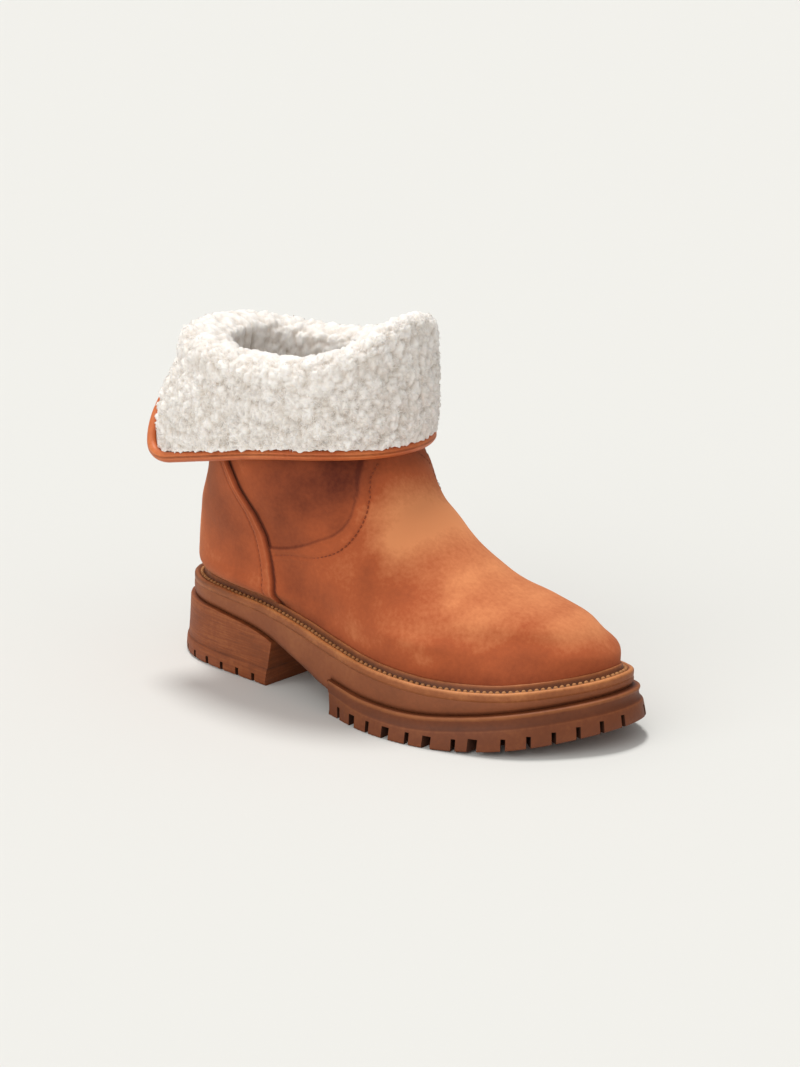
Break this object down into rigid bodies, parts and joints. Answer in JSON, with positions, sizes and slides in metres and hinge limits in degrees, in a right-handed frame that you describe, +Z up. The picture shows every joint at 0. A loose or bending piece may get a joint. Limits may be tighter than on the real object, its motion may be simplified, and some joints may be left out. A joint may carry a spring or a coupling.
{
  "type": "sheepskin-lined ankle boot",
  "caption": "Pull-on suede ankle boot for the right foot, its shearling lining folded down as a deep bound cuff, on a lugged block-heel sole with a stitched welt.",
  "frame": {"origin": "on the floor, below the middle of the boot's bounding box", "axes": "+X towards the toe, +Y towards the wearer's left, the inner side of this right boot, +Z up"},
  "size_m": [0.284, 0.126, 0.2036],
  "materials": {
    "suede": "matt tan suede",
    "quarter_suede": "matt tan suede",
    "binding_leather": "smooth rolled tan leather",
    "fleece": "curly cream shearling",
    "insole_fleece": "short cream shearling",
    "welt_rubber": "light brown, stitched",
    "midsole_rubber": "brown satin",
    "outsole_rubber": "brown satin",
    "heel_rubber": "brown, fine stacked grain"
  },
  "bodies": {
    "root": {"upper": "suede", "back_quarter": "quarter_suede", "cuff": "fleece", "cuff_binding": "binding_leather", "welt": "welt_rubber", "midsole": "midsole_rubber", "outsole": "outsole_rubber", "heel": "heel_rubber", "insole": "insole_fleece"}
  },
  "joints": []
}
